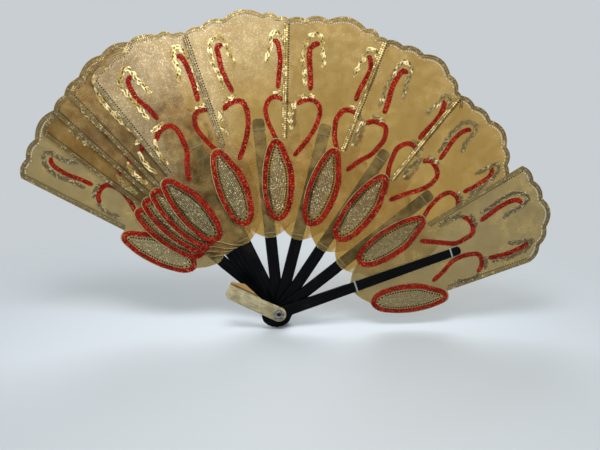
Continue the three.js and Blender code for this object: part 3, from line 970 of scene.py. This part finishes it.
def inside_ring(point, ring):
    """How far a point lies inside a closed path, or less than zero outside it."""
    crossings = 0
    for a, b in zip(ring, [*ring[1:], ring[0]]):
        if (a.y > point.y) != (b.y > point.y):
            crossings += point.x < a.x + (point.y - a.y) * (b.x - a.x) / (b.y - a.y)
    nearest = min((point - other).length for other in ring)
    return nearest if crossings % 2 else -nearest


def pebble_rows(side, hand):
    """Rows of pebbles side by side over the ear, each as long as the band leaves room for."""
    ring = ear_ring(side)
    low, high = (Vector((pick(p.x for p in ring), pick(p.y for p in ring))) for pick in (min, max))
    lean = Vector((1, PEBBLE_LEAN * side)).normalized()
    across = Vector((-lean.y, lean.x))
    middle = (low + high) / 2
    reach = (high - low).length / 2
    last_row = round(reach / PEBBLE_PITCH)
    samples = range(-ROW_SAMPLES, ROW_SAMPLES + 1)
    rows = []
    for row in range(-last_row, last_row + 1):
        start = middle + across * row * PEBBLE_PITCH
        line = [start + lean * reach * step / ROW_SAMPLES for step in samples]
        run = [point for point in line if inside_ring(point, ring) > PEBBLE_INSET]
        if len(run) >= ROW_LEAST_SAMPLES:
            rows.append(beaded(run, PEBBLE_WIDTH, PEBBLE_PITCH, hand))
    return rows


ear_filling = filling_finish()
for number in LEAF_NUMBERS:
    hand = random.Random(EAR_SEED + number)
    rows = [row for side in painted_sides(number) for row in pebble_rows(side, hand)]
    shine = EAR_SHINE[number - 1]
    lay_paint("ear_filling", ear_filling, rows, PEBBLE_HEIGHT, PEBBLE_FULL_WIDTH, number, shine)


# Cut edges
# The hide is cut with shears. Its cut edge round the foot and the ears is paler than its face, and the
# pale strip along it is partly a painted highlight where the edge catches the light.
CUT_EDGE = 0.45 * MM
CUT_EDGE_RANGE = (0.7, 1)
CUT_EDGE_HEIGHT = 0.08 * MM
CUT_EDGE_PITCH = 1.2 * MM
EDGE_SEED = 500
EDGE_DULL = srgb(132, 112, 66)
EDGE_PALE_AND_HIGHLIGHT = srgb(178, 162, 112)


def edge_finish():
    """Bare hide, paler and duller by turns."""
    edge = Finish(bpy.data.materials.new("cut_edge"))
    wear = edge.noise(scale=240, detail=3)
    # The pale tone is partly the edge's own colour and partly a painted highlight.
    colour = edge.blend(edge.between(wear, 0.35, 0.65), EDGE_DULL, EDGE_PALE_AND_HIGHLIGHT)
    return edge.coated(Base_Color=colour, Roughness=0.3 + wear * 0.2)


cut_edge = edge_finish()
for number in LEAF_NUMBERS:
    hand = random.Random(EDGE_SEED + number)
    left = beside(evenly(leaf_side(), CUT_EDGE_PITCH), CUT_EDGE / 2)
    edges = []
    for line in (left, [flipped(point) for point in left]):
        edges.append((line, [CUT_EDGE / 2 * hand.uniform(*CUT_EDGE_RANGE) for _ in line], False))
    lay_paint("cut_edge", cut_edge, edges, CUT_EDGE_HEIGHT, CUT_EDGE, number)


# Punch marks
# Rows of small dents beside the side edges and inside the ear bands, left by a round punch.
# Each dent's shade is painted as a dark disc that stands a little above the hide: painted shade.
MARK_HEIGHT = 0.3 * MM
MARK_DEPTH = 0.05 * MM
MARK_TAPER = 0.85
MARK_SIDES = 8
SIDE_MARK_RADIUS = 0.58 * MM
SIDE_MARK_PITCH = 1.9 * MM
SIDE_MARK_INSET = 3.9 * MM
EAR_MARK_RADIUS = 0.75 * MM
EAR_MARK_PITCH = 2.2 * MM
EAR_MARK_GAP = 0.75 * MM
EAR_MARK_LEAST_GAP = EAR_MARK_RADIUS * 2.4
DENT_SHADE_BLACK = srgb(8, 6, 4)
DENT_SHADE_BROWN = srgb(30, 22, 12)


def dent_shade_finish():
    """Painted shade for the inside of a dent, black to brown at random."""
    shade_dots = Finish(bpy.data.materials.new("painted_dent_shade"))
    tone_variation = shade_dots.noise(scale=900)
    colour = shade_dots.blend(tone_variation, DENT_SHADE_BLACK, DENT_SHADE_BROWN)
    return shade_dots.coated(Base_Color=colour, Roughness=0.5 + tone_variation * 0.3, Specular_IOR_Level=0.1)


def side_marks(number):
    """Centres of the marks along a leaf's side edges."""
    rows = []
    for edge in side_edges(number):
        rows += beside(evenly(edge, SIDE_MARK_PITCH), SIDE_MARK_INSET)[1:-1]
    return rows


def ear_marks(number):
    """Centres of the marks inside a leaf's ear bands."""
    rows = []
    for side in painted_sides(number):
        ring = evenly(ear_ring(side), EAR_MARK_PITCH, True)
        ahead = [*ring[1:], ring[0]]
        for index, (point, following) in enumerate(zip(ring, ahead)):
            along = (following - point).normalized()
            inwards = Vector((along.y, -along.x)) * side
            rows.append(point + inwards * (ear_band_half(index / len(ring)) + EAR_MARK_GAP))
    return apart(rows, EAR_MARK_LEAST_GAP)


painted_dent_shade = dent_shade_finish()
for number in LEAF_NUMBERS:
    bm = bmesh.new()
    marks = [(point, SIDE_MARK_RADIUS) for point in side_marks(number)]
    marks += [(point, EAR_MARK_RADIUS) for point in ear_marks(number)]
    for point, radius in marks:
        bmesh.ops.create_cone(
            bm,
            cap_ends=True,
            segments=MARK_SIDES,
            radius1=radius,
            radius2=radius * MARK_TAPER,
            depth=MARK_HEIGHT,
            matrix=facing(point, MARK_DEPTH - MARK_HEIGHT / 2),
        )
    bmesh.ops.transform(bm, matrix=on_leaf(number), verts=bm.verts)
    piece(bm, f"punch_marks_{number}", painted_dent_shade, body_of_leaf(number))


# Thread ties
# Each leaf is tied to its stick by thread wound round both in five turns side by side: waxed and brown
# on the leaves, plain and pale on the front guard.
LOWER_TIE = 66.5 * MM
UPPER_TIE = 148 * MM
STRAND = 0.125 * MM
STRAND_STEP = 0.237 * MM
STRAND_BEND = 0.3 * MM
BEND_STEPS = 4
TURNS = (-2, -1, 0, 1, 2)
THREAD_CREASE = 60
THREAD_SOIL = srgb(120, 104, 70)
FUZZ_DEPTH = 0.06 * MM


def thread_finish(name, dark_tone, light_tone):
    """Fuzzy thread, soiled in places."""
    thread = Finish(bpy.data.materials.new(name))
    fuzz = thread.noise(scale=5200)
    soil = thread.noise(scale=140)
    colour = thread.blend(fuzz, dark_tone, light_tone)
    colour = thread.blend(thread.between(soil, 0.5, 0.8) * 0.4, colour, THREAD_SOIL)
    return thread.coated(Base_Color=colour, Roughness=0.85, Normal=thread.bump(fuzz, 0.6, FUZZ_DEPTH))


def thread_turn(half, front, back):
    """One turn of thread round a stick and its leaf, across and in depth, with rounded corners."""
    ring = []
    for z, y, start in ((half, back, 270), (half, front, 0), (-half, front, 90), (-half, back, 180)):
        sideways = math.copysign(STRAND_BEND, -z)
        deeper = STRAND_BEND if y == front else -STRAND_BEND
        centre = Vector((z, y)) + Vector((sideways, deeper))
        sweep = [math.radians(start + step * 90 / BEND_STEPS) for step in range(BEND_STEPS + 1)]
        ring += [centre + Vector((math.cos(a), -math.sin(a))) * STRAND_BEND for a in sweep]
    return ring


def wound_thread(node, number, along):
    """Turns of thread that lie inside the room of one tie."""
    to_plane = turned(number).inverted()
    corners = [to_plane @ vert.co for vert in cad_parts[node].data.vertices]
    half = max(corner.z for corner in corners) - STRAND
    front = min(corner.y for corner in corners) + STRAND
    back = max(corner.y for corner in corners) - STRAND
    ring = thread_turn(half, front, back)
    even = [1] * len(ring)
    runs = [([(along + turn * STRAND_STEP, p.y, p.x) for p in ring], even, True) for turn in TURNS]
    bm = swept(node, runs, radius=STRAND, resolution=2)
    bmesh.ops.recalc_face_normals(bm, faces=bm.faces)
    bmesh.ops.transform(bm, matrix=turned(number), verts=bm.verts)
    return bm


grey_thread = thread_finish("thread", srgb(120, 122, 120), srgb(176, 177, 172))
waxed_thread = thread_finish("waxed_thread", srgb(92, 78, 46), srgb(136, 116, 70))
for number in LEAF_NUMBERS:
    thread = grey_thread if number == LEAF_COUNT else waxed_thread
    for end, along in (("lower", LOWER_TIE), ("upper", UPPER_TIE)):
        node = f"{end}_tie_{number}"
        bm = wound_thread(node, number, along)
        name = f"{end}_thread_{number}"
        piece(bm, name, thread, body_of_leaf(number), [node], THREAD_CREASE)


# Thumb tab
# A strip of thick cream hide under the eyelet's flare, folded so that a thinner golden ledge shows
# along one side. The ledge is painted golden and partly as painted shade, and the crease beside it as
# a line of painted shade. It is scraped and stained by handling.
TAB_ANGLE = 152
TAB_EASE = 0.35 * MM
STREAK_STRETCH = (8, 70, 1)
LEDGE_SIDE = (0.052, 0.06)
LEDGE_START = (0.2, 0.24)
CREASE_SIDE = (0.06, 0.075)
TAB_DULL = srgb(124, 116, 84)
TAB_CREAM = srgb(166, 158, 122)
TAB_STREAK = srgb(194, 186, 152)
TAB_STAIN = srgb(140, 112, 58)
LEDGE_TONE_AND_SHADE = srgb(158, 118, 50)
CREASE_SHADE = srgb(58, 42, 18)
TAB_GRAIN_DEPTH = 0.15 * MM


def tab_finish():
    """Cream hide with streaks along it and stains, a golden ledge partly in painted shade and a crease
    beside that in painted shade.
    """
    tab = Finish(bpy.data.materials.new("bare_hide"))
    along, across = tab.along_and_across()
    below = -1 * across
    clouds = tab.noise(scale=110, detail=4, roughness=0.6)
    stains = tab.noise(scale=260, detail=3)
    grain = tab.noise(scale=2200, detail=3)
    streaks = tab.noise(scale=1, detail=3, place=tab.stretched(STREAK_STRETCH))
    colour = tab.blend(tab.between(clouds, 0.3, 0.7), TAB_DULL, TAB_CREAM)
    colour = tab.blend(tab.between(streaks, 0.5, 0.72) * 0.6, colour, TAB_STREAK)
    colour = tab.blend(tab.between(stains, 0.5, 0.7) * 0.55, colour, TAB_STAIN)
    ledge = tab.between(below, *LEDGE_SIDE) * tab.between(along, *LEDGE_START)
    crease = ledge * (1 - tab.between(below, *CREASE_SIDE))
    # The ledge's golden tone is partly painted shade, and the crease is painted shade.
    colour = tab.blend(ledge * 0.8, colour, LEDGE_TONE_AND_SHADE)
    colour = tab.blend(crease, colour, CREASE_SHADE)
    return tab.coated(
        Base_Color=colour,
        Roughness=0.5 + stains * 0.15,
        Normal=tab.bump(grain * 0.5 + streaks * 0.5, 0.4, TAB_GRAIN_DEPTH),
    )


bm = eased_solid("thumb_tab", TAB_EASE, segments=3)
draw_uv(bm, Matrix.Rotation(math.radians(TAB_ANGLE), 4, "Y"))
piece(bm, "hide_tab", tab_finish(), "tab", ["thumb_tab"])


# Eyelet and washer
# A hollow plated eyelet through all the sticks and the tab, flared at the front into crimped petals,
# with a washer under its rear flange. The plating is dull and tarnished in the creases.
EYELET_EASE = 0.07 * MM
EYELET_CREASE = 50
METAL_TARNISH = srgb(90, 86, 80)
METAL_BRIGHT = srgb(154, 150, 145)
SCRATCH_DEPTH = 0.04 * MM


def metal_finish():
    """Dull plating with clouds of tarnish and fine scratches."""
    metal = Finish(bpy.data.materials.new("eyelet_metal"))
    clouds = metal.noise(scale=420, detail=4, roughness=0.6)
    scratches = metal.noise(scale=2600)
    colour = metal.blend(metal.between(clouds, 0.35, 0.7), METAL_TARNISH, METAL_BRIGHT)
    return metal.coated(
        Base_Color=colour,
        Metallic=0.9,
        Roughness=0.3 + clouds * 0.25,
        Normal=metal.bump(scratches, 0.3, SCRATCH_DEPTH),
    )


eyelet_metal = metal_finish()
for node in ("pivot_eyelet", "eyelet_washer"):
    bm = eased_solid(node, EYELET_EASE, segments=2)
    piece(bm, f"plated_{node}", eyelet_metal, "front_leaf", [node], EYELET_CREASE)


# Stage
# A plain pale floor that fades into a backdrop of a like tone. Soft lamps stand above the viewer and
# behind the fan, so that some light comes through the hide.
FLOOR_REACH = 4.0
FLOOR_GAP = 0.2 * MM
FLOOR_SIDES = 64
FLOOR_FADE = (0.16, 0.5)
FLOOR_TONE = srgb(181, 189, 194)
FLOOR_LIGHT = srgb(188, 195, 200)
BACKDROP_TONE = srgb(200, 206, 210)
STUDIO_TONE = (0.93, 0.97, 1, 1)
STUDIO_STRENGTH = 0.36


def floor_finish():
    """A pale floor near the fan that goes clear further out."""
    floor = Finish(bpy.data.materials.new("pale_floor"))
    colour = floor.blend(floor.noise(scale=2.5), FLOOR_TONE, FLOOR_LIGHT)
    near = floor.surface(Base_Color=colour, Roughness=0.7)
    clear = floor.node("ShaderNodeBsdfTransparent", {}, {})
    distance = floor.node("ShaderNodeVectorMath", {"operation": "LENGTH"}, {0: floor.place()}, "Value")
    fade = floor.between(distance, *FLOOR_FADE)
    return floor.done(floor.node("ShaderNodeMixShader", {}, {0: fade, 1: near, 2: clear}))


bm = bmesh.new()
bmesh.ops.create_circle(bm, cap_ends=True, radius=FLOOR_REACH, segments=FLOOR_SIDES)
bmesh.ops.translate(bm, verts=bm.verts, vec=(0, 0, cad_box[0].z - FLOOR_GAP))
floor_mesh = bpy.data.meshes.new("floor")
bm.to_mesh(floor_mesh)
bm.free()
floor_mesh.materials.append(floor_finish())
floor = bpy.data.objects.new("floor", floor_mesh)
bpy.context.scene.collection.objects.link(floor)


def lamp(name, place, aim, size, power):
    """A round soft lamp that shines from a place towards an aim."""
    light = bpy.data.lights.new(name, "AREA")
    light.shape = "DISK"
    light.size = size
    light.energy = power
    made = bpy.data.objects.new(name, light)
    made.location = place
    made.rotation_mode = "QUATERNION"
    made.rotation_quaternion = (Vector(aim) - Vector(place)).to_track_quat("-Z", "Y")
    bpy.context.scene.collection.objects.link(made)


lamp("key", place=(-0.02, -0.24, 0.47), aim=(-0.01, -0.01, 0.21), size=0.24, power=2.4)
lamp("glare", place=(-0.17, -0.5, 0.28), aim=(-0.06, 0, 0.2), size=0.14, power=0.35)
lamp("fill", place=(0.9, -1.1, 0.55), aim=(0.02, -0.01, 0.12), size=1.2, power=3)
lamp("behind", place=(0.15, 0.8, 0.75), aim=(0, 0.12, 0), size=0.8, power=8)

studio = Finish(bpy.data.worlds.new("studio"))
bpy.context.scene.world = studio.owner
ray = studio.node("ShaderNodeLightPath", {}, {})
seen, mirrored, passed = studio.outputs(ray, ("Is Camera Ray", "Is Glossy Ray", "Is Transmission Ray"))
shown = studio.node("ShaderNodeMath", {"use_clamp": True}, {0: seen + mirrored, 1: passed})
light = studio.node("ShaderNodeBackground", {}, {"Color": STUDIO_TONE, "Strength": STUDIO_STRENGTH})
backdrop = studio.node("ShaderNodeBackground", {}, {"Color": BACKDROP_TONE, "Strength": 1})
sky = studio.node("ShaderNodeMixShader", {}, {0: shown, 1: light, 2: backdrop})
studio.done(sky, "ShaderNodeOutputWorld")
bpy.context.scene.view_settings.view_transform = "Standard"


# Camera
# The photograph's view: a little above the fan and a little to its left, close by.
# The lens follows from the photograph's width and its focal length, both in pixels.
CAMERA_AIM = Vector((17.75, -8, 71.85)) * MM
CAMERA_DISTANCE = 416 * MM
CAMERA_AZIMUTH = math.radians(-3.37)
CAMERA_ELEVATION = math.radians(12.71)
PHOTO_WIDTH = 600
FOCAL_PIXELS = 518.96
SENSOR_WIDTH = 36
CLIP_START = 10 * MM

camera_data = bpy.data.cameras.new("camera")
camera_data.sensor_width = SENSOR_WIDTH
camera_data.lens = FOCAL_PIXELS / PHOTO_WIDTH * SENSOR_WIDTH
camera_data.clip_start = CLIP_START
camera = bpy.data.objects.new("camera", camera_data)
back = Vector((
    math.sin(CAMERA_AZIMUTH) * math.cos(CAMERA_ELEVATION),
    -math.cos(CAMERA_AZIMUTH) * math.cos(CAMERA_ELEVATION),
    math.sin(CAMERA_ELEVATION),
))
camera.location = CAMERA_AIM + back * CAMERA_DISTANCE
camera.rotation_mode = "QUATERNION"
camera.rotation_quaternion = (-back).to_track_quat("-Z", "Y")
bpy.context.scene.collection.objects.link(camera)
bpy.context.scene.camera = camera
